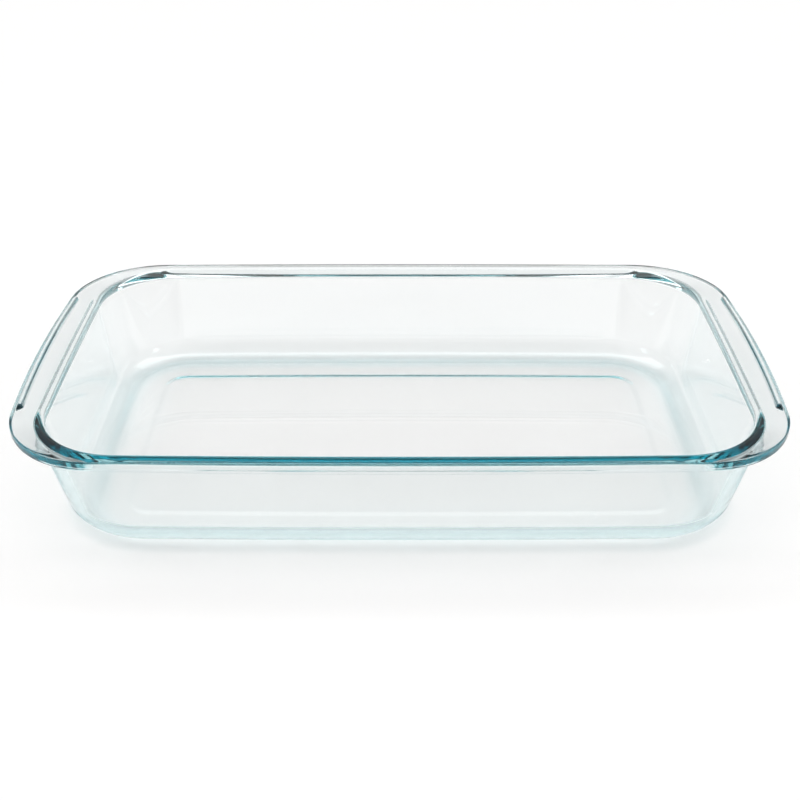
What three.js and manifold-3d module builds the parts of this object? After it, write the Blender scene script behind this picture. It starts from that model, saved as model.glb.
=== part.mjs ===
// Oblong glass baking dish, pressed in one piece: a tray with drafted walls, a rim that turns
// outwards all round, and a broad tab handle at each end with a ridge along its edge for the grip.
// It stands on a foot ring at z = 0. Its length runs along X, its width along Y, and the origin
// lies under the middle of the base. Sizes are millimetres.

import * as THREE from 'three';
import { mergeVertices } from 'three/addons/utils/BufferGeometryUtils.js';
import Module from 'manifold-3d';

// Overall size
const LENGTH = 382.5; // over both handles
const WIDTH = 229; // over the rim of the long sides
const HEIGHT = 57; // from the table to the top of the rim

// Glass thickness
const WALL_THICKNESS = 5.5; // at the rim
const BASE_THICKNESS = 3.8; // over the foot
const RIM_DEPTH = 7; // from the rim's top to its underside at the wall

// Walls
const OUTER_DRAFT = THREE.MathUtils.degToRad(11); // lean of the outer walls from upright
const INNER_DRAFT = THREE.MathUtils.degToRad(11.3); // lean of the inner walls from upright
const WALL_CORNER_RADIUS = 47; // upright corners, in plan
const END_WALL_CURVE = 4000; // radius of the slightly bowed end walls, in plan
const LONG_WALL_CURVE = 6800; // radius of the slightly bowed long walls, in plan
const OUTER_BASE_ROUND = 14; // wall to foot, outside
const INNER_BASE_ROUND = 13.5; // wall to floor, inside

// Rim and handles
const HANDLE_REACH = 13.75; // from the end wall to the middle of a handle's edge
const RIM_REACH = 4.1; // from a long wall to the rim's edge
const RIM_CORNER_RADIUS = 49.5; // rim's corners, in plan
const HANDLE_EDGE_CURVE = 850; // radius of a handle's bowed edge, in plan
const RIM_SIDE_CURVE = 6800; // radius of the rim's bowed long edges, in plan
const RIM_EDGE_ROUND = 1.5; // rim's upper outer edge
const MOUTH_ROUND = 3.3; // rim top to inner wall
const RIM_FILLET = 1.2; // rim's underside to outer wall

// Outer face of the rim along the long sides: a lip, a bevel under it, and the lower edge
const LIP_HEIGHT = 3.5;
const BEVEL_WIDTH = 0.67;
const BEVEL_HEIGHT = 1.1;
const UNDERSIDE_RISE = 0.6; // rise of the rim's underside from the wall to its edge
const UNDERSIDE_ROUND = 1.2;

// Outer face of the handles, whose underside rises from the wall to a thinner edge
const HANDLE_EDGE = 5.2; // thickness of the edge
const HANDLE_LIP = 4.2;
const HANDLE_BEVEL = 0.2;
const HANDLE_ROUND = 0.6;

// Ridge along each handle's top
const RIDGE_LENGTH = 128;
const RIDGE_WIDTH = 3.3;
const RIDGE_HEIGHT = 1.9;
const RIDGE_ROUND = 1.2; // top edges
const RIDGE_INSET = 2; // from the handle's edge

// Foot ring round the gentle hollow of the underside
const FOOT_WIDTH = 5;
const HOLLOW_DEPTH = 0.35;
const HOLLOW_RUN = 16; // width of the slope up into the hollow

// Fineness of the facets: steps along each stretch of a quarter outline, and of a round
const END_STEPS = 4;
const CORNER_STEPS = 12;
const SIDE_STEPS = 4;
const BASE_ROUND_STEPS = 7;
const EDGE_ROUND_STEPS = 4;

// Glass, clear with a faint sea-green tint
const GLASS_COLOUR = 0xd6eceb;
const GLASS_ROUGHNESS = 0.04;
const GLASS_OPACITY = 0.4;

const QUARTER_TURN = Math.PI / 2;

// An outline is a rounded rectangle whose four sides are shallow arcs, given by its half sizes,
// its corner radius and the radii of its end and side arcs.
function outline(halfLength, halfWidth, corner, endCurve, sideCurve) {
  return { halfLength, halfWidth, corner, endCurve, sideCurve };
}

// The parallel outline that lies a distance inside another one
function inset(shape, distance) {
  return outline(
    shape.halfLength - distance,
    shape.halfWidth - distance,
    shape.corner - distance,
    shape.endCurve - distance,
    shape.sideCurve - distance,
  );
}

// The outline with its sides moved inwards and its curves kept
function shrunk(shape, distance) {
  return {
    ...shape,
    halfLength: shape.halfLength - distance,
    halfWidth: shape.halfWidth - distance,
  };
}

// Centre of the corner arc that touches the end arc and the side arc of an outline's first quarter
function cornerCentre(shape) {
  const endCentre = new THREE.Vector2(shape.halfLength - shape.endCurve, 0);
  const sideCentre = new THREE.Vector2(0, shape.halfWidth - shape.sideCurve);
  const fromEnd = shape.endCurve - shape.corner;
  const fromSide = shape.sideCurve - shape.corner;
  const span = sideCentre.clone().sub(endCentre);
  const apart = span.length();
  const along = (fromEnd ** 2 - fromSide ** 2 + apart ** 2) / (2 * apart);
  const across = Math.sqrt(fromEnd ** 2 - along ** 2);
  const direction = span.divideScalar(apart);
  const normal = new THREE.Vector2(-direction.y, direction.x);
  return endCentre.addScaledVector(direction, along).addScaledVector(normal, across);
}

// Points along an arc with their outward normals
function arcStations(centre, radius, from, to, steps) {
  return Array.from({ length: steps + 1 }, (_, i) => {
    const angle = THREE.MathUtils.lerp(from, to, i / steps);
    const normal = new THREE.Vector2(Math.cos(angle), Math.sin(angle));
    return { point: centre.clone().addScaledVector(normal, radius), normal };
  });
}

// Stations of an outline's first quarter, from the middle of the end to the middle of the long side
function quarterStations(shape) {
  const corner = cornerCentre(shape);
  const end = new THREE.Vector2(shape.halfLength - shape.endCurve, 0);
  const side = new THREE.Vector2(0, shape.halfWidth - shape.sideCurve);
  const cornerStart = Math.atan2(corner.y, corner.x - end.x);
  const cornerEnd = Math.atan2(corner.y - side.y, corner.x);
  return [
    ...arcStations(end, shape.endCurve, 0, cornerStart, END_STEPS),
    ...arcStations(corner, shape.corner, cornerStart, cornerEnd, CORNER_STEPS).slice(1),
    ...arcStations(side, shape.sideCurve, cornerEnd, QUARTER_TURN, SIDE_STEPS).slice(1),
  ];
}

const rimUnderside = HEIGHT - RIM_DEPTH;

// The outer wall's outline at a height: the drafted walls meet the rim's underside at full size
function outerWall(z) {
  const top = outline(
    LENGTH / 2 - HANDLE_REACH,
    WIDTH / 2 - RIM_REACH,
    WALL_CORNER_RADIUS,
    END_WALL_CURVE,
    LONG_WALL_CURVE,
  );
  return shrunk(top, (rimUnderside - z) * Math.tan(OUTER_DRAFT));
}

// The inner wall's outline at a height, one wall thickness inside the outer wall at the rim
function innerWall(z) {
  const top = inset(outerWall(HEIGHT), WALL_THICKNESS / Math.cos(OUTER_DRAFT));
  return shrunk(top, (HEIGHT - z) * Math.tan(INNER_DRAFT));
}

const rimEdge = outline(
  LENGTH / 2,
  WIDTH / 2,
  RIM_CORNER_RADIUS,
  HANDLE_EDGE_CURVE,
  RIM_SIDE_CURVE,
);

// How much of a handle each station of a quarter has, from how far the rim reaches off the wall
const wallStations = quarterStations(outerWall(rimUnderside));
const handleShares = quarterStations(rimEdge).map((station, i) => {
  const reach = station.point.distanceTo(wallStations[i].point);
  return THREE.MathUtils.smoothstep(reach, RIM_REACH, HANDLE_REACH);
});

// A column of points mirrored into another quarter
function mirrored(column, xSign, ySign) {
  return column.map((p) => new THREE.Vector3(xSign * p.x, ySign * p.y, p.z));
}

// Rings round an outline, anticlockwise, one for each step of a section of ways outwards and
// heights. The section depends on how much of a handle a station has.
function turned(shape, section) {
  const first = quarterStations(shape).map(({ point, normal }, i) => section(handleShares[i]).map(
    (step) => new THREE.Vector3(point.x + normal.x * step.x, point.y + normal.y * step.x, step.y),
  ));
  const second = first.slice(0, -1).reverse().map((column) => mirrored(column, -1, 1));
  const third = first.slice(1).map((column) => mirrored(column, -1, -1));
  const fourth = first.slice(1, -1).reverse().map((column) => mirrored(column, 1, -1));
  const columns = [...first, ...second, ...third, ...fourth];
  return first[0].map((_, step) => columns.map((column) => column[step]));
}

// A direction in a section
function heading(out, up) {
  return new THREE.Vector2(out, up).normalize();
}

// Points of the arc that rounds a section's corner, from its first side to its second one
function roundOff(corner, first, second, radius, steps) {
  const half = Math.acos(first.dot(second)) / 2;
  const middle = first.clone().add(second).normalize();
  const centre = corner.clone().addScaledVector(middle, radius / Math.sin(half));
  const start = corner.clone().addScaledVector(first, radius / Math.tan(half));
  const turn = (2 * half - Math.PI) * Math.sign(first.cross(second));
  return Array.from({ length: steps + 1 }, (_, i) => (
    start.clone().rotateAround(centre, turn * (i / steps))
  ));
}

// Rings of the round between a wall and a level face below it, from the face up to the wall
function baseRound(wall, draft, radius, level) {
  const lean = heading(Math.sin(draft), Math.cos(draft));
  const corner = new THREE.Vector2(0, level);
  const arc = roundOff(corner, heading(-1, 0), lean, radius, BASE_ROUND_STEPS);
  const end = arc.at(-1);
  return turned(wall(end.y), () => arc.map((p) => new THREE.Vector2(p.x - end.x, p.y)));
}

// Rings of the round between a wall and the face above it, from the wall up to the face
function topRound(wall, draft, face, radius, level) {
  const lean = heading(-Math.sin(draft), -Math.cos(draft));
  const corner = new THREE.Vector2(0, level);
  const arc = roundOff(corner, lean, face, radius, EDGE_ROUND_STEPS);
  const start = arc[0];
  return turned(wall(start.y), () => arc.map((p) => new THREE.Vector2(p.x - start.x, p.y)));
}

// Section down the rim's outer face: the upper edge, the lip, the bevel and the lower edge
function faceSection(lip, bevel, edge, back, round) {
  const up = heading(0, 1);
  const top = new THREE.Vector2(0, HEIGHT);
  const under = lip.clone().add(bevel);
  const low = new THREE.Vector2(under.x, edge);
  return [
    ...roundOff(top, heading(-1, 0), heading(0, -1), RIM_EDGE_ROUND, EDGE_ROUND_STEPS),
    lip,
    under,
    ...roundOff(low, up, back, round, EDGE_ROUND_STEPS),
  ];
}

// Rings over the rim's outer face, which is thinner along the handles than along the long sides
function edgeRings() {
  const side = faceSection(
    new THREE.Vector2(0, HEIGHT - LIP_HEIGHT),
    new THREE.Vector2(-BEVEL_WIDTH, -BEVEL_HEIGHT),
    rimUnderside + UNDERSIDE_RISE,
    heading(BEVEL_WIDTH - RIM_REACH, -UNDERSIDE_RISE),
    UNDERSIDE_ROUND,
  );
  const handle = faceSection(
    new THREE.Vector2(0, HEIGHT - HANDLE_LIP),
    new THREE.Vector2(-HANDLE_BEVEL, -HANDLE_BEVEL),
    HEIGHT - HANDLE_EDGE,
    heading(-HANDLE_REACH, HANDLE_EDGE - RIM_DEPTH),
    HANDLE_ROUND,
  );
  return turned(rimEdge, (share) => side.map((p, i) => p.clone().lerp(handle[i], share)));
}

// Rings of the foot's inner edge at the table and of the hollow above it
function hollowRings() {
  const reach = OUTER_BASE_ROUND * Math.tan((QUARTER_TURN - OUTER_DRAFT) / 2);
  const foot = inset(outerWall(0), reach + FOOT_WIDTH);
  const slope = [new THREE.Vector2(0, 0), new THREE.Vector2(-HOLLOW_RUN, HOLLOW_DEPTH)];
  return turned(foot, () => slope);
}

// The dish's skin, from the middle of the floor up the inside, over the rim and down the outside
function dishRings() {
  const underside = heading(RIM_REACH, UNDERSIDE_RISE);
  return [
    ...baseRound(innerWall, INNER_DRAFT, INNER_BASE_ROUND, BASE_THICKNESS),
    ...topRound(innerWall, INNER_DRAFT, heading(1, 0), MOUTH_ROUND, HEIGHT),
    ...edgeRings(),
    ...topRound(outerWall, OUTER_DRAFT, underside, RIM_FILLET, rimUnderside).reverse(),
    ...baseRound(outerWall, OUTER_DRAFT, OUTER_BASE_ROUND, 0).reverse(),
    ...hollowRings(),
  ];
}

// A closed skin over a row of rings, with a fan to the middle of the first and of the last one
function loft(rings) {
  const around = rings[0].length;
  const first = new THREE.Vector3(0, 0, rings[0][0].z);
  const last = new THREE.Vector3(0, 0, rings.at(-1)[0].z);
  const points = [...rings.flat(), first, last];
  const firstIndex = points.length - 2;
  const lastIndex = points.length - 1;
  const faces = [];
  for (let i = 0; i < around; i += 1) {
    const next = (i + 1) % around;
    faces.push(firstIndex, i, next);
    for (let row = 0; row < rings.length - 1; row += 1) {
      const here = row * around;
      const there = here + around;
      faces.push(here + i, there + i, there + next);
      faces.push(here + i, there + next, here + next);
    }
    const edge = (rings.length - 1) * around;
    faces.push(lastIndex, edge + next, edge + i);
  }
  const geometry = new THREE.BufferGeometry().setFromPoints(points);
  geometry.setIndex(faces);
  return geometry;
}

// The ridge along the top of the handle at one end (side is 1 or -1), sunk into the rim by its height
function ridge(side) {
  const centreX = rimEdge.halfLength - rimEdge.endCurve;
  const outerRadius = rimEdge.endCurve - RIDGE_INSET;
  const innerRadius = outerRadius - RIDGE_WIDTH;
  const sweep = Math.asin(RIDGE_LENGTH / 2 / outerRadius);
  const bar = new THREE.Shape();
  bar.absarc(centreX, 0, outerRadius, -sweep, sweep, false);
  bar.absarc(centreX, 0, innerRadius, sweep, -sweep, true);
  const geometry = new THREE.ExtrudeGeometry(bar, {
    depth: 2 * (RIDGE_HEIGHT - RIDGE_ROUND),
    bevelThickness: RIDGE_ROUND,
    bevelSize: RIDGE_ROUND,
    bevelOffset: -RIDGE_ROUND,
    bevelSegments: EDGE_ROUND_STEPS,
    curveSegments: 2 * END_STEPS,
  });
  geometry.translate(0, 0, HEIGHT - RIDGE_HEIGHT + RIDGE_ROUND);
  return side > 0 ? geometry : geometry.rotateZ(Math.PI);
}

const wasm = await Module();
wasm.setup();

// A closed geometry as a solid that can be joined
function solid(geometry) {
  geometry.deleteAttribute('normal');
  geometry.deleteAttribute('uv');
  const merged = mergeVertices(geometry);
  return new wasm.Manifold(new wasm.Mesh({
    numProp: 3,
    vertProperties: new Float32Array(merged.attributes.position.array),
    triVerts: new Uint32Array(merged.index.array),
  }));
}

// A joined solid as a geometry again
function geometryOf(body) {
  const mesh = body.getMesh();
  const geometry = new THREE.BufferGeometry();
  geometry.setAttribute('position', new THREE.BufferAttribute(mesh.vertProperties, mesh.numProp));
  geometry.setIndex(new THREE.BufferAttribute(mesh.triVerts, 1));
  geometry.computeVertexNormals();
  return geometry;
}

// The whole dish: the lofted skin with a ridge on each handle
function bakingDish() {
  const skin = solid(loft(dishRings()));
  const ridges = [1, -1].map((side) => solid(ridge(side)));
  const glass = new THREE.MeshStandardMaterial({
    color: GLASS_COLOUR,
    roughness: GLASS_ROUGHNESS,
    metalness: 0,
    transparent: true,
    opacity: GLASS_OPACITY,
  });
  const mesh = new THREE.Mesh(geometryOf(ridges.reduce((body, bar) => body.add(bar), skin)), glass);
  mesh.name = 'baking_dish';
  return mesh;
}

const dish = new THREE.Group();
dish.add(bakingDish());

export default dish;
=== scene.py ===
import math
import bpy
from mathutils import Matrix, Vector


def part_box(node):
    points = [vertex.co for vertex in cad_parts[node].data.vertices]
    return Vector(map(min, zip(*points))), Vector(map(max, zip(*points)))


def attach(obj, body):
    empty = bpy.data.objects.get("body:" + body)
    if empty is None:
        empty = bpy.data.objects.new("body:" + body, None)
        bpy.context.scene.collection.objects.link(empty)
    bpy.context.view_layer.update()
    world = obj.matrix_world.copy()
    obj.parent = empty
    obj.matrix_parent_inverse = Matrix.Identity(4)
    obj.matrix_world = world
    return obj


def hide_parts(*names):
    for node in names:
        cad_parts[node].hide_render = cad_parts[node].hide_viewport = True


bl_info = {
    "name": "Oblong Glass Baking Dish",
    "version": (1, 0, 0),
    "blender": (4, 5, 0),
    "location": "View3D > Sidebar > Baking Dish",
    "description": "Models an oblong dish of pressed glass and sets the stage that shows it",
    "category": "Add Mesh",
}

from collections import namedtuple

import bmesh
import bpy
from mathutils import Matrix, Vector

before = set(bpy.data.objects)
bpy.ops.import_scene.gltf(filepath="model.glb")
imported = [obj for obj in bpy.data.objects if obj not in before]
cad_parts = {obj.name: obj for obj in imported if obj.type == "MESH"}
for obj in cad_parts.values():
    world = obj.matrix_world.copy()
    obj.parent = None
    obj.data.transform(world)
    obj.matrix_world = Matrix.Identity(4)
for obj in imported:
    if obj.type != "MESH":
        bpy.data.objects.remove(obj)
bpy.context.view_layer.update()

DISH_NODE = "baking_dish"
DISH_LOW, DISH_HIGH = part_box(DISH_NODE)

MILLIMETRE = 0.001
QUARTER_TURN = math.pi / 2

# Fineness of the mesh: steps along each stretch of a quarter outline, and round each edge
HANDLE_STEPS = 10
RIDGE_END_STEPS = 6
HANDLE_TAIL_STEPS = 3
CORNER_STEPS = 28
SIDE_STEPS = 14
BASE_ROUND_STEPS = 14
EDGE_ROUND_STEPS = 8
SMALL_ROUND_STEPS = 5
RIDGE_CORNERS = 4

# A stretch is broad from this many margins on, and a margin takes up this share of it at most
BROAD_STRETCH = 4
LARGEST_MARGIN = 0.3

# Points that differ by less than a micrometre are the same one
POINTS_PER_METRE = 1e6

# Most turns of a light ray in the glass, between mirroring faces and between matt faces
GLASS_BOUNCES = 64
MIRROR_BOUNCES = 32
MATT_BOUNCES = 16

# Metres from the camera to the nearest thing that it shows
NEAREST_SIGHT = 0.01

WHITE = (1.0, 1.0, 1.0, 1.0)


def millimetres(name, description, default):
    """A size in the sidebar, given in millimetres and kept in metres"""
    return bpy.props.FloatProperty(
        name=name,
        description=description,
        default=default * MILLIMETRE,
        min=0.0,
        precision=5,
        unit="LENGTH",
    )


def degrees(name, description, default):
    """An angle in the sidebar, given in degrees and kept in radians"""
    return bpy.props.FloatProperty(
        name=name,
        description=description,
        default=math.radians(default),
        subtype="ANGLE",
    )


def number(name, description, default):
    """A plain number in the sidebar"""
    return bpy.props.FloatProperty(name=name, description=description, default=default)


def colour(name, description, default):
    """A colour in the sidebar"""
    return bpy.props.FloatVectorProperty(
        name=name, description=description, default=default, subtype="COLOR", min=0.0, max=1.0
    )


def place(name, description, default):
    """A place in the sidebar, in metres"""
    return bpy.props.FloatVectorProperty(
        name=name, description=description, default=default, subtype="XYZ", unit="LENGTH", precision=5
    )


class DishSizes(bpy.types.PropertyGroup):
    """Sizes of the glass dish"""

    length: bpy.props.FloatProperty(
        name="Length",
        description="Over both handles",
        default=DISH_HIGH.x - DISH_LOW.x,
        unit="LENGTH",
    )
    width: bpy.props.FloatProperty(
        name="Width",
        description="Over the rim of the long sides",
        default=DISH_HIGH.y - DISH_LOW.y,
        unit="LENGTH",
    )
    height: millimetres("Height", "Table to the top of the rim", 57)
    ridge_height: millimetres("Ridge height", "Rim's top to the top of the ridge along a handle", 1.85)
    wall_thickness: millimetres("Wall", "Thickness of the walls at the rim", 5.5)
    base_thickness: millimetres("Base", "Thickness of the base over the foot", 3.8)
    rim_depth: millimetres("Rim depth", "Top of the rim to its underside at the wall", 7)
    wall_draft: degrees("Draft", "Lean of the outer walls from upright", 11)
    inner_draft: degrees("Inner draft", "Lean of the inner walls from upright", 11.3)
    wall_corner_radius: millimetres("Wall corner", "Radius of the upright corners, in plan", 47)
    end_wall_curve: millimetres("End wall curve", "Radius of the bowed end walls, in plan", 4000)
    long_wall_curve: millimetres("Long wall curve", "Radius of the bowed long walls, in plan", 6800)
    outer_base_round: millimetres("Outer base round", "Round from wall to foot, outside", 14)
    inner_base_round: millimetres("Inner base round", "Round from wall to floor, inside", 13.5)
    handle_reach: millimetres("Handle reach", "End wall to the middle of a handle's edge", 13.75)
    rim_reach: millimetres("Rim reach", "Long wall to the rim's edge", 4.1)
    rim_corner_radius: millimetres("Rim corner", "Radius of the rim's corners, in plan", 49.5)
    handle_edge_curve: millimetres("Handle curve", "Radius of a handle's bowed edge, in plan", 850)
    rim_side_curve: millimetres("Rim side curve", "Radius of the rim's long edges, in plan", 6800)
    rim_fall: millimetres("Rim fall", "Fall of the rim's top towards its edge", 0.35)
    rim_edge_round: millimetres("Rim edge round", "Round of the rim's upper edge along the long sides", 1.5)
    handle_edge_round: millimetres("Handle edge round", "Round of a handle's upper edge", 0.4)
    mouth_round: millimetres("Mouth round", "Round from rim top to inner wall", 3.3)
    lip_height: millimetres("Lip", "Top of the rim to the lower end of its outer face", 3.5)
    bevel_width: millimetres("Bevel width", "How far the rim's face steps in under the lip", 0.67)
    bevel_height: millimetres("Bevel height", "Height of the slope under the lip", 1.1)
    bevel_round: millimetres("Bevel round", "Round on the bevel's corners", 0.25)
    underside_rise: millimetres("Underside rise", "Rise of the rim's underside towards its edge", 0.6)
    underside_round: millimetres("Underside round", "Round of the rim's lower edge", 1.2)
    handle_edge: millimetres("Handle edge", "Top of the rim to the underside at a handle's edge", 5.2)
    handle_lip: millimetres("Handle lip", "Top of the rim to the lower end of a handle's outer face", 3.4)
    handle_bevel: millimetres("Handle bevel", "Size of the bevel under a handle's lip", 0.2)
    handle_round: millimetres("Handle round", "Round of a handle's lower edge", 1.5)
    rim_fillet: millimetres("Rim fillet", "Fillet from the rim's underside to the outer wall", 1.2)
    ridge_length: millimetres("Ridge length", "Length of the ridge along a handle's edge", 128)
    ridge_width: millimetres("Ridge width", "Width of the ridge at its foot", 3.3)
    ridge_inset: millimetres("Ridge inset", "Handle's edge to the ridge's foot", 2.0)
    ridge_draft: degrees("Ridge draft", "Lean of the ridge's sides from upright", 18.5)
    ridge_round: millimetres("Ridge round", "Round on the ridge's top edges", 1.18)
    ridge_fillet: millimetres("Ridge fillet", "Fillet at the ridge's foot", 0.7)
    ridge_end: millimetres("Ridge end", "Run of the slope at the ridge's ends", 3.5)
    panel_length: millimetres("Panel length", "Length of the sunken panel under the base", 282)
    panel_width: millimetres("Panel width", "Width of the sunken panel under the base", 148)
    panel_corner: millimetres("Panel corner", "Radius of the sunken panel's corners, in plan", 15)
    panel_depth: millimetres("Panel depth", "Depth of the sunken panel", 0.4)
    panel_run: millimetres("Panel run", "Width of the slope round the sunken panel", 5.5)
    flat_margin: millimetres("Flat margin", "Narrow strip that holds a flat face flat beside a round", 0.6)


class GlassLook(bpy.types.PropertyGroup):
    """Finish of the glass"""

    tint: colour("Tint", "Colour that deep glass takes", (0.0, 0.68, 0.745))
    surface: colour("Surface", "Warm colour that keeps the thin walls neutral", (1.0, 0.968, 0.964))
    tint_depth: number("Tint depth", "Absorption for each metre of glass", 14)
    refraction: number("Refraction", "Index of refraction", 1.5)
    polish: number("Polish", "Greatest roughness of the fire-polished skin", 0.02)
    wave_size: number("Wave size", "Waves of the pressed skin for each metre", 45.0)
    wave_height: millimetres("Wave height", "Height of the pressed skin's faint waves", 0.003)


class StageLook(bpy.types.PropertyGroup):
    """Floor, light and camera"""

    floor_colour: colour("Floor", "Colour of the floor", (0.98, 0.97, 0.966))
    floor_size: millimetres("Floor size", "Side of the floor", 12000)
    floor_gap: millimetres("Floor gap", "Gap under the foot, as between glass and a table", 0.1)
    overhead_light: number("Overhead", "Strength of the broad light overhead", 2.15)
    back_light: number("Back", "Strength of the dim wall behind the dish", 0.1)
    backdrop_light: number("Backdrop", "Strength of the low panel behind the dish", 0.6)
    backdrop_start: degrees("Backdrop start", "Height of the low panel's lower edge", 17)
    backdrop_end: degrees("Backdrop end", "Height of the low panel's upper edge", 35)
    front_light: number("Front", "Strength of the dim room behind the camera", 0.13)
    side_light: number("Side", "Strength of the dim panels at both sides", 0.5)
    side_start: number("Side start", "How far sideways the side panels begin", 0.15)
    side_end: number("Side end", "How far sideways the side panels are full", 0.5)
    overhead_start: degrees("Overhead start", "Height of the overhead light's far edge", 50)
    overhead_end: degrees("Overhead end", "Turn from the far horizon to the near edge", 100)
    overhead_blend: degrees("Overhead blend", "Softness of the edges of overhead light and low panel", 12)
    overhead_side: number("Overhead side", "How far sideways the overhead light begins to fade", 0.78)
    overhead_close: number("Overhead close", "How far sideways the overhead light ends", 0.9)
    softbox_light: number("Softbox", "Strength of the two side softboxes", 7)
    softbox_size: millimetres("Softbox size", "Side of a softbox", 320)
    softbox_place: place("Softbox place", "Where the softbox on the right stands", (1.7, -0.9, 0.65))
    camera_place: place("Camera", "Where the camera stands", (0.0002, -0.6053, 0.3667))
    camera_tilt: degrees("Tilt", "How far the camera looks down", 29.385)
    camera_lens: number("Lens", "Focal length in millimetres", 57.65)


Outline = namedtuple("Outline", "half_length half_width corner end_curve side_curve")
Shares = namedtuple("Shares", "ridge handle")


def inset(outline, distance):
    """The parallel outline that lies a distance inside another one"""
    return Outline(*(value - distance for value in outline))


def shrunk(outline, distance):
    """The outline with its sides moved inwards and its curves kept"""
    return outline._replace(
        half_length=outline.half_length - distance,
        half_width=outline.half_width - distance,
    )


def corner_centre(outline):
    """Centre of the corner arc that touches the end arc and the side arc of the first quarter"""
    end_centre = Vector((outline.half_length - outline.end_curve, 0.0))
    side_centre = Vector((0.0, outline.half_width - outline.side_curve))
    from_end = outline.end_curve - outline.corner
    from_side = outline.side_curve - outline.corner
    span = side_centre - end_centre
    apart = span.length
    along = (from_end**2 - from_side**2 + apart**2) / (2 * apart)
    across = math.sqrt(from_end**2 - along**2)
    direction = span / apart
    normal = Vector((-direction.y, direction.x))
    return end_centre + direction * along + normal * across


def arc_points(centre, radius, start, end, shares):
    """Points and outward normals along an arc"""
    points = []
    for share in shares:
        angle = start + (end - start) * share
        normal = Vector((math.cos(angle), math.sin(angle)))
        points.append((centre + radius * normal, normal))
    return points


def even(steps):
    """Even shares from 0 to 1"""
    return [step / steps for step in range(steps + 1)]


def eased(share):
    """A share that starts and ends gently"""
    return share * share * (3.0 - 2.0 * share)


def rim_underside(sizes):
    """Height at which the rim's underside meets the outer wall"""
    return sizes.height - sizes.rim_depth


def outer_wall(sizes, z):
    """The outer wall's outline at a height"""
    top = Outline(
        sizes.length / 2 - sizes.handle_reach,
        sizes.width / 2 - sizes.rim_reach,
        sizes.wall_corner_radius,
        sizes.end_wall_curve,
        sizes.long_wall_curve,
    )
    return shrunk(top, (rim_underside(sizes) - z) * math.tan(sizes.wall_draft))


def inner_wall(sizes, z):
    """The inner wall's outline at a height"""
    thickness = sizes.wall_thickness / math.cos(sizes.wall_draft)
    top = inset(outer_wall(sizes, sizes.height), thickness)
    return shrunk(top, (sizes.height - z) * math.tan(sizes.inner_draft))


def rim_edge(sizes):
    """The rim's outermost outline"""
    return Outline(
        sizes.length / 2,
        sizes.width / 2,
        sizes.rim_corner_radius,
        sizes.handle_edge_curve,
        sizes.rim_side_curve,
    )


def handle_shares(sizes):
    """Shares along the end arc, close together at the ridge's end, and how much of the ridge each has"""
    edge = rim_edge(sizes)
    centre = corner_centre(edge)
    sweep = math.atan2(centre.y, centre.x - edge.half_length + edge.end_curve)
    middle = math.asin(sizes.ridge_length / 2 / edge.end_curve) / sweep
    ramp = sizes.ridge_end / edge.end_curve / sweep
    first, last = middle - ramp / 2, middle + ramp / 2
    along = [(first * share, 1.0) for share in even(HANDLE_STEPS)]
    end = [(first + ramp * share, 1.0 - eased(share)) for share in even(RIDGE_END_STEPS)]
    tail = [(last + (1.0 - last) * share, 0.0) for share in even(HANDLE_TAIL_STEPS)]
    return along + end[1:] + tail[1:]


def quarter_of(outline, shares):
    """Points and normals of an outline's first quarter, from the end's middle to the long side's"""
    centre = corner_centre(outline)
    end_centre = Vector((outline.half_length - outline.end_curve, 0.0))
    side_centre = Vector((0.0, outline.half_width - outline.side_curve))
    corner_start = math.atan2(centre.y, centre.x - end_centre.x)
    corner_end = math.atan2(centre.y - side_centre.y, centre.x)
    end = arc_points(end_centre, outline.end_curve, 0.0, corner_start, shares)
    corner = arc_points(centre, outline.corner, corner_start, corner_end, even(CORNER_STEPS)[1:])
    side = arc_points(side_centre, outline.side_curve, corner_end, QUARTER_TURN, even(SIDE_STEPS)[1:])
    return end + corner + side


def all_round(quarter, flip):
    """A quarter's items carried round the other three quarters, anticlockwise"""
    second = [flip(item, -1, 1) for item in reversed(quarter[:-1])]
    third = [flip(item, -1, -1) for item in quarter[1:]]
    fourth = [flip(item, 1, -1) for item in reversed(quarter[1:-1])]
    return quarter + second + third + fourth


def flip_point(item, x_sign, y_sign):
    """A point and its normal mirrored into another quarter"""
    signs = Vector((x_sign, y_sign))
    return item[0] * signs, item[1] * signs


def handle_share(sizes, wall, edge):
    """How much of a handle a place of the rim has, from how far its edge lies off the wall"""
    reach = (edge[0] - wall[0]).length
    share = (reach - sizes.rim_reach) / (sizes.handle_reach - sizes.rim_reach)
    return eased(min(max(share, 0.0), 1.0))


def rim_shares(sizes):
    """Shares along the end arc, and what each place of the first quarter has of ridge and handle"""
    handle = handle_shares(sizes)
    along = [share for share, _ in handle]
    ridge = [share for _, share in handle] + [0.0] * (CORNER_STEPS + SIDE_STEPS)
    wall = quarter_of(outer_wall(sizes, rim_underside(sizes)), along)
    edge = quarter_of(rim_edge(sizes), along)
    return along, [Shares(share, handle_share(sizes, *places)) for share, *places in zip(ridge, wall, edge)]


def turned_rings(sizes, outline, section):
    """Rings of points round an outline, one for each step of a section of ways outwards and heights.
    A section is a function of how much of the ridge and of the handle a place has."""
    along, shares = rim_shares(sizes)
    stations = all_round(quarter_of(outline, along), flip_point)
    columns = []
    for (point, normal), share in zip(stations, all_round(shares, lambda item, x_sign, y_sign: item)):
        columns.append([(*(point + normal * out), z) for out, z in section(share)])
    return [[Vector(point) for point in ring] for ring in zip(*columns)]


def heading(out, up):
    """A direction in a section"""
    return Vector((out, up)).normalized()


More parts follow.
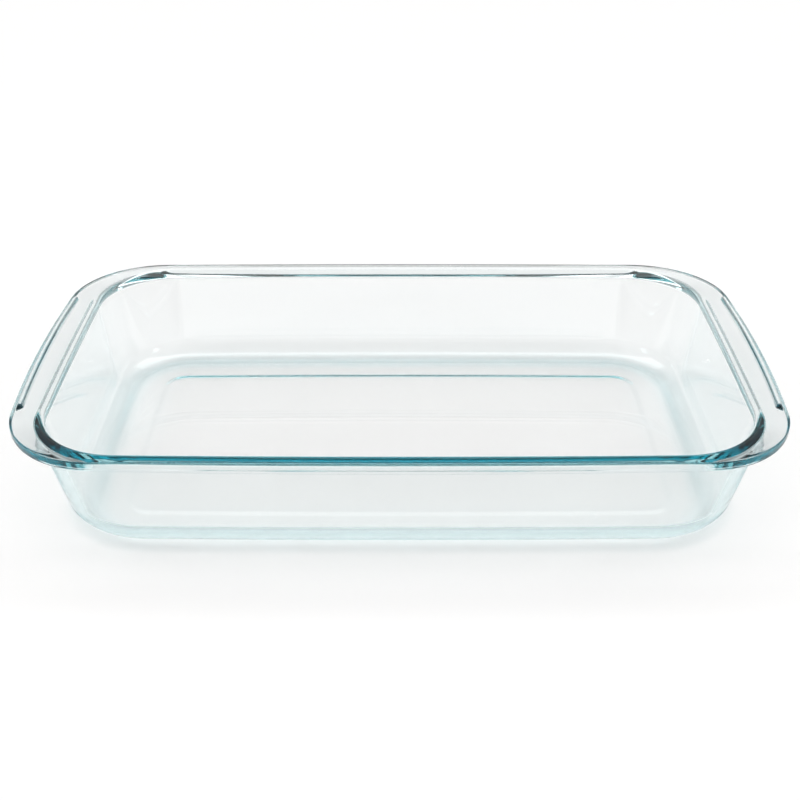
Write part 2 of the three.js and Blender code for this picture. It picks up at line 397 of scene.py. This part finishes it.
def round_off(corner, first, second, radius, steps):
    """Points of the arc that rounds a section's corner, from the first side to the second one"""
    half = first.angle(second) / 2
    middle = (first + second).normalized()
    centre = corner + middle * (radius / math.sin(half))
    start = corner + first * (radius / math.tan(half)) - centre
    turn = (math.pi - 2 * half) * math.copysign(1.0, first.cross(second))
    return [centre + Matrix.Rotation(-turn * share, 2) @ start for share in even(steps)]


def base_round(sizes, wall, draft, radius, level):
    """Rings of the round between a wall and a level face below it, from the face up"""
    lean = heading(math.sin(draft), math.cos(draft))
    arc = round_off(Vector((0.0, level)), heading(-1, 0), lean, radius, BASE_ROUND_STEPS)
    section = [(point.x - arc[-1].x, point.y) for point in arc]
    return turned_rings(sizes, wall(sizes, arc[-1].y), lambda share: section)


def top_round(sizes, wall, draft, face, radius, level):
    """Rings of the round between a wall and a face that leaves it at a level, from the wall up"""
    lean = heading(-math.sin(draft), -math.cos(draft))
    arc = round_off(Vector((0.0, level)), lean, face, radius, EDGE_ROUND_STEPS)
    section = [(point.x - arc[0].x, point.y) for point in arc]
    return turned_rings(sizes, wall(sizes, arc[0].y), lambda share: section)


def plain_crown(sizes):
    """Section over the rim's top as far as its edge, level, with as many points as over the ridge"""
    top = sizes.height - sizes.rim_fall
    points = RIDGE_CORNERS * (SMALL_ROUND_STEPS + 1)
    start = Vector((-sizes.ridge_width, top))
    end = Vector((-sizes.rim_edge_round - sizes.flat_margin / 2, top))
    return [start.lerp(end, share) for share in even(points - 1)]


def ridge_crown(sizes):
    """Section over the rim's top as far as its edge, over the ridge"""
    low = sizes.height - sizes.rim_fall
    high = sizes.height + sizes.ridge_height
    lean = (high - low) * math.tan(sizes.ridge_draft)
    near, far = -sizes.ridge_inset - sizes.ridge_width, -sizes.ridge_inset
    inwards, outwards = heading(-1, 0), heading(1, 0)
    rising, falling = heading(lean, high - low), heading(lean, low - high)
    corners = [
        (Vector((near, low)), inwards, rising),
        (Vector((near + lean, high)), -rising, outwards),
        (Vector((far - lean, high)), inwards, falling),
        (Vector((far, low)), -falling, outwards),
    ]
    radii = [sizes.ridge_fillet, sizes.ridge_round, sizes.ridge_round, sizes.ridge_fillet]
    points = []
    for corner, radius in zip(corners, radii):
        points += round_off(*corner, radius, SMALL_ROUND_STEPS)
    return points


def rim_shoulder(sizes, radius):
    """Section over the rim's upper edge"""
    corner = Vector((0.0, sizes.height - sizes.rim_fall))
    return round_off(corner, heading(-1, 0), heading(0, -1), radius, EDGE_ROUND_STEPS)


def lip_section(lip, bevel, edge, back, bevel_round, edge_round):
    """Section down the rim's outer face: the lip, the bevel under it and the lower edge"""
    under = lip + bevel
    slope = bevel.normalized()
    up, down = heading(0, 1), heading(0, -1)
    return [
        *round_off(lip, up, slope, bevel_round, SMALL_ROUND_STEPS),
        *round_off(under, -slope, down, bevel_round, SMALL_ROUND_STEPS),
        *round_off(Vector((under.x, edge)), up, back, edge_round, EDGE_ROUND_STEPS),
    ]


def side_lip(sizes):
    """The rim's outer face along the long sides"""
    return lip_section(
        Vector((0.0, sizes.height - sizes.lip_height)),
        Vector((-sizes.bevel_width, -sizes.bevel_height)),
        rim_underside(sizes) + sizes.underside_rise,
        heading(sizes.bevel_width - sizes.rim_reach, -sizes.underside_rise),
        sizes.bevel_round,
        sizes.underside_round,
    )


def handle_lip(sizes):
    """The rim's outer face along the handles, whose underside rises to a thinner edge"""
    return lip_section(
        Vector((0.0, sizes.height - sizes.handle_lip)),
        Vector((-sizes.handle_bevel, -sizes.handle_bevel)),
        sizes.height - sizes.handle_edge,
        heading(-sizes.handle_reach, sizes.handle_edge - sizes.rim_depth),
        sizes.handle_bevel / 2,
        sizes.handle_round,
    )


def between(first, second, share):
    """A section that lies a share of the way from one section to another"""
    return [near.lerp(far, share) for near, far in zip(first, second)]


def edge_rings(sizes):
    """Rings over the rim's top and outer edge, with the ridge along each handle"""
    plain, ridge = plain_crown(sizes), ridge_crown(sizes)
    side = rim_shoulder(sizes, sizes.rim_edge_round) + side_lip(sizes)
    handle = rim_shoulder(sizes, sizes.handle_edge_round) + handle_lip(sizes)

    def section(share):
        return between(plain, ridge, share.ridge) + between(side, handle, share.handle)

    return turned_rings(sizes, rim_edge(sizes), section)


def panel_rings(sizes):
    """Rings of the slope from the foot up to the shallow panel under the base"""
    edge = outer_wall(sizes, 0.0)._replace(
        half_length=sizes.panel_length / 2,
        half_width=sizes.panel_width / 2,
        corner=sizes.panel_corner,
    )
    section = [
        (-sizes.panel_run * share, sizes.panel_depth * eased(share))
        for share in even(BASE_ROUND_STEPS)
    ]
    return turned_rings(sizes, edge, lambda share: section)


def hold_flats(rings, margin):
    """Adds a narrow strip at both ends of each broad stretch, so that its shading stays flat"""
    held = [rings[0]]
    for near, far in zip(rings, rings[1:]):
        spans = [(b - a).length for a, b in zip(near, far)]
        if max(spans) > BROAD_STRETCH * margin:
            shares = [min(margin / max(span, margin), LARGEST_MARGIN) for span in spans]
            held.append([a.lerp(b, share) for a, b, share in zip(near, far, shares)])
            held.append([b.lerp(a, share) for a, b, share in zip(near, far, shares)])
        held.append(far)
    return held


def inner_patch(ring, margin):
    """A ring just inside a level ring, for the middle of a flat face"""
    return [point - margin * Vector((*point.xy.normalized(), 0.0)) for point in ring]


def dish_rings(sizes):
    """The whole skin, from the middle of the floor up the inside, over the rim and down to the panel"""
    outer, inner = sizes.wall_draft, sizes.inner_draft
    rim_width = sizes.rim_reach + sizes.wall_thickness
    crown = heading(rim_width, -sizes.rim_fall)
    underside = heading(sizes.rim_reach, sizes.underside_rise)
    floor = base_round(sizes, inner_wall, inner, sizes.inner_base_round, sizes.base_thickness)
    mouth = top_round(sizes, inner_wall, inner, crown, sizes.mouth_round, sizes.height)
    fillet = top_round(sizes, outer_wall, outer, underside, sizes.rim_fillet, rim_underside(sizes))
    heel = base_round(sizes, outer_wall, outer, sizes.outer_base_round, 0.0)
    panel = panel_rings(sizes)
    skin = [*floor, *mouth, *edge_rings(sizes), *reversed(fillet), *reversed(heel), *panel]
    margin = sizes.flat_margin
    held = hold_flats(skin, margin)
    return [inner_patch(held[0], margin), *held, inner_patch(held[-1], margin)]


def key(point):
    """A point's place to the nearest micrometre, for finding it again"""
    return tuple(round(value * POINTS_PER_METRE) for value in point)


def draw_out(mesh, ring, target):
    """Extrudes the selected loop and sets each new point on the next ring"""
    places = {key(point): goal for point, goal in zip(ring, target)}
    bpy.ops.mesh.extrude_edges_move()
    edit = bmesh.from_edit_mesh(mesh)
    for vertex in edit.verts:
        if vertex.select:
            vertex.co = places[key(vertex.co)]
    bmesh.update_edit_mesh(mesh)


def start_loop(mesh, ring):
    """Lays the primitive circle's points on the first ring"""
    edit = bmesh.from_edit_mesh(mesh)
    edit.verts.ensure_lookup_table()
    for vertex, point in zip(edit.verts, ring):
        vertex.co = point
    bmesh.update_edit_mesh(mesh)


def press_skin(name, rings):
    """A closed body drawn out from a circle, ring after ring, and filled at both ends"""
    bpy.ops.object.select_all(action="DESELECT")
    bpy.ops.mesh.primitive_circle_add(vertices=len(rings[0]), radius=DISH_HIGH.y)
    body = bpy.context.object
    body.name = name
    body.data.name = name
    bpy.ops.object.mode_set(mode="EDIT")
    bpy.ops.mesh.select_all(action="SELECT")
    start_loop(body.data, rings[0])
    bpy.ops.mesh.edge_face_add()
    bpy.ops.mesh.select_mode(type="EDGE")
    for ring, target in zip(rings, rings[1:]):
        draw_out(body.data, ring, target)
    bpy.ops.mesh.edge_face_add()
    bpy.ops.mesh.select_all(action="SELECT")
    bpy.ops.mesh.normals_make_consistent(inside=False)
    bpy.ops.object.mode_set(mode="OBJECT")
    bpy.ops.object.shade_smooth()
    return body


def new_material(name):
    """An empty node material and its output"""
    material = bpy.data.materials.new(name)
    material.use_nodes = True
    tree = material.node_tree
    tree.nodes.clear()
    return material, tree, tree.nodes.new("ShaderNodeOutputMaterial")


def skin_noise(tree, look):
    """Broad faint noise over the glass, fixed to the dish"""
    coordinates = tree.nodes.new("ShaderNodeTexCoord")
    noise = tree.nodes.new("ShaderNodeTexNoise")
    noise.inputs["Scale"].default_value = look.wave_size
    noise.inputs["Detail"].default_value = 1.0
    tree.links.new(coordinates.outputs["Object"], noise.inputs["Vector"])
    return noise


def tinted_glass(look):
    """Clear pressed glass whose tint deepens with the way that light travels in it.
    Its skin is slightly warm, and has the faint waves and the uneven gloss that pressing leaves."""
    material, tree, output = new_material("tinted_glass")
    skin = tree.nodes.new("ShaderNodeBsdfPrincipled")
    skin.inputs["Base Color"].default_value = (*look.surface, 1.0)
    skin.inputs["IOR"].default_value = look.refraction
    skin.inputs["Transmission Weight"].default_value = 1.0
    noise = skin_noise(tree, look)
    gloss = tree.nodes.new("ShaderNodeMapRange")
    gloss.inputs["To Min"].default_value = 0.0
    gloss.inputs["To Max"].default_value = look.polish
    waves = tree.nodes.new("ShaderNodeBump")
    waves.inputs["Distance"].default_value = look.wave_height
    tree.links.new(noise.outputs["Fac"], gloss.inputs["Value"])
    tree.links.new(noise.outputs["Fac"], waves.inputs["Height"])
    tree.links.new(gloss.outputs["Result"], skin.inputs["Roughness"])
    tree.links.new(waves.outputs["Normal"], skin.inputs["Normal"])
    depth = tree.nodes.new("ShaderNodeVolumeAbsorption")
    depth.inputs["Color"].default_value = (*look.tint, 1.0)
    depth.inputs["Density"].default_value = look.tint_depth
    tree.links.new(skin.outputs["BSDF"], output.inputs["Surface"])
    tree.links.new(depth.outputs["Volume"], output.inputs["Volume"])
    return material


class BAKEWARE_OT_press_dish(bpy.types.Operator):
    """Model the glass dish and give it its finish"""

    bl_idname = "bakeware.press_dish"
    bl_label = "Press Dish"

    def execute(self, context):
        dish = press_skin("glass_dish", dish_rings(context.scene.dish_sizes))
        dish.data.materials.append(tinted_glass(context.scene.glass_look))
        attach(dish, "root")
        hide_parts(DISH_NODE)
        return {"FINISHED"}


def compute(tree, operation, first, second=None):
    """The result of a sum on values, each a socket or a plain number"""
    node = tree.nodes.new("ShaderNodeMath")
    node.operation = operation
    for socket, value in zip(node.inputs, (first, second)):
        if isinstance(value, bpy.types.NodeSocket):
            tree.links.new(value, socket)
        elif value is not None:
            socket.default_value = value
    return node.outputs["Value"]


def direction_parts(tree):
    """X, Y and Z of the direction in which a place of the sky lies"""
    coordinates = tree.nodes.new("ShaderNodeTexCoord")
    parts = tree.nodes.new("ShaderNodeSeparateXYZ")
    tree.links.new(coordinates.outputs["Generated"], parts.inputs["Vector"])
    return parts.outputs


def smooth_range(tree, value, start, end, level):
    """A value that rises gently from nothing at the start to a level at the end"""
    span = tree.nodes.new("ShaderNodeMapRange")
    span.interpolation_type = "SMOOTHSTEP"
    span.inputs["From Min"].default_value = start
    span.inputs["From Max"].default_value = end
    span.inputs["To Max"].default_value = level
    tree.links.new(value, span.inputs["Value"])
    return span.outputs["Result"]


def floor_finish(stage):
    """Plain pale floor"""
    material, tree, output = new_material("studio_floor")
    matt = tree.nodes.new("ShaderNodeBsdfDiffuse")
    matt.inputs["Color"].default_value = (*stage.floor_colour, 1.0)
    tree.links.new(matt.outputs["BSDF"], output.inputs["Surface"])
    return material


def lay_floor(stage):
    """The floor that the dish stands on"""
    bpy.ops.object.select_all(action="DESELECT")
    bpy.ops.mesh.primitive_plane_add(size=stage.floor_size, location=(0.0, 0.0, -stage.floor_gap))
    floor = bpy.context.object
    floor.name = "studio_floor"
    floor.data.materials.append(floor_finish(stage))


def sky_stops(stage):
    """Turns at which the sky's strength changes, and the strength there"""
    half = stage.overhead_blend / 2
    return [
        (stage.backdrop_start - half, stage.back_light),
        (stage.backdrop_start + half, stage.backdrop_light),
        (stage.backdrop_end - half, stage.backdrop_light),
        (stage.backdrop_end + half, stage.back_light),
        (stage.overhead_start - half, stage.back_light),
        (stage.overhead_start + half, stage.overhead_light),
        (stage.overhead_end - half, stage.overhead_light),
        (stage.overhead_end + half, stage.front_light),
    ]


def overhead_glow(stage, tree, parts):
    """Strength of the sky by its turn from the far horizon over the zenith, less far out sideways"""
    ramp = tree.nodes.new("ShaderNodeValToRGB")
    stops = ramp.color_ramp.elements
    while len(stops) < len(sky_stops(stage)):
        stops.new(1.0)
    for stop, (turn, strength) in zip(stops, sky_stops(stage)):
        stop.position = turn / math.pi
        level = strength / stage.overhead_light
        stop.color = (level, level, level, 1.0)
    turn = compute(tree, "ARCTAN2", parts["Z"], parts["Y"])
    tree.links.new(compute(tree, "DIVIDE", turn, math.pi), ramp.inputs["Fac"])
    sideways = compute(tree, "ABSOLUTE", parts["X"])
    lost = smooth_range(tree, sideways, stage.overhead_side, stage.overhead_close, stage.overhead_light)
    kept = compute(tree, "SUBTRACT", stage.overhead_light, lost)
    return compute(tree, "MULTIPLY", ramp.outputs["Color"], kept)


def side_glow(stage, tree, parts):
    """Strength of the panels at both sides by how far sideways a direction goes"""
    sideways = compute(tree, "ABSOLUTE", parts["X"])
    return smooth_range(tree, sideways, stage.side_start, stage.side_end, stage.side_light)


def hang_sky(stage):
    """A broad light overhead, dim panels at the sides and behind, and a dim room behind the camera"""
    world = bpy.data.worlds.new("studio_sky")
    bpy.context.scene.world = world
    world.use_nodes = True
    tree = world.node_tree
    parts = direction_parts(tree)
    strength = compute(tree, "MAXIMUM", overhead_glow(stage, tree, parts), side_glow(stage, tree, parts))
    tree.links.new(strength, tree.nodes["Background"].inputs["Strength"])
    tree.nodes["Background"].inputs["Color"].default_value = WHITE


def hang_softbox(stage, side):
    """A small softbox at one side of the camera, turned to the dish"""
    right = Vector(stage.softbox_place)
    spot = Vector((side * right.x, right.y, right.z))
    bpy.ops.object.light_add(type="AREA", location=spot, rotation=spot.to_track_quat("Z", "Y").to_euler())
    lamp = bpy.context.object
    lamp.name = "softbox_right" if side > 0 else "softbox_left"
    lamp.data.size = stage.softbox_size
    lamp.data.energy = stage.softbox_light * math.pi * stage.softbox_size**2


def place_camera(stage):
    """The camera at the photograph's viewpoint"""
    bpy.ops.object.camera_add(
        location=stage.camera_place, rotation=(QUARTER_TURN - stage.camera_tilt, 0.0, 0.0)
    )
    camera = bpy.context.object
    camera.name = "studio_camera"
    camera.data.lens = stage.camera_lens
    camera.data.clip_start = NEAREST_SIGHT
    bpy.context.scene.camera = camera


class BAKEWARE_OT_set_stage(bpy.types.Operator):
    """Lay the floor, light it and place the camera"""

    bl_idname = "bakeware.set_stage"
    bl_label = "Set Stage"

    def execute(self, context):
        scene = context.scene
        stage = scene.stage_look
        lay_floor(stage)
        hang_sky(stage)
        for side in (1, -1):
            hang_softbox(stage, side)
        place_camera(stage)
        scene.view_settings.view_transform = "Standard"
        scene.cycles.max_bounces = GLASS_BOUNCES
        scene.cycles.transmission_bounces = GLASS_BOUNCES
        scene.cycles.glossy_bounces = MIRROR_BOUNCES
        scene.cycles.diffuse_bounces = MATT_BOUNCES
        scene.cycles.blur_glossy = 0.0
        return {"FINISHED"}


class BAKEWARE_PT_dish(bpy.types.Panel):
    """The dish and its stage in the 3D view's sidebar"""

    bl_idname = "BAKEWARE_PT_dish"
    bl_label = "Baking Dish"
    bl_space_type = "VIEW_3D"
    bl_region_type = "UI"
    bl_category = "Baking Dish"

    def draw(self, context):
        for name in ("dish_sizes", "glass_look", "stage_look"):
            group = getattr(context.scene, name)
            for prop in group.bl_rna.properties:
                if not prop.is_readonly and prop.identifier != "name":
                    self.layout.prop(group, prop.identifier)
        self.layout.operator(BAKEWARE_OT_press_dish.bl_idname)
        self.layout.operator(BAKEWARE_OT_set_stage.bl_idname)


CLASSES = (
    DishSizes,
    GlassLook,
    StageLook,
    BAKEWARE_OT_press_dish,
    BAKEWARE_OT_set_stage,
    BAKEWARE_PT_dish,
)


def register():
    for cls in CLASSES:
        bpy.utils.register_class(cls)
    bpy.types.Scene.dish_sizes = bpy.props.PointerProperty(type=DishSizes)
    bpy.types.Scene.glass_look = bpy.props.PointerProperty(type=GlassLook)
    bpy.types.Scene.stage_look = bpy.props.PointerProperty(type=StageLook)


def unregister():
    del bpy.types.Scene.stage_look
    del bpy.types.Scene.glass_look
    del bpy.types.Scene.dish_sizes
    for cls in reversed(CLASSES):
        bpy.utils.unregister_class(cls)


def main():
    register()
    bpy.ops.bakeware.press_dish()
    bpy.ops.bakeware.set_stage()


if __name__ == "__main__":
    main()
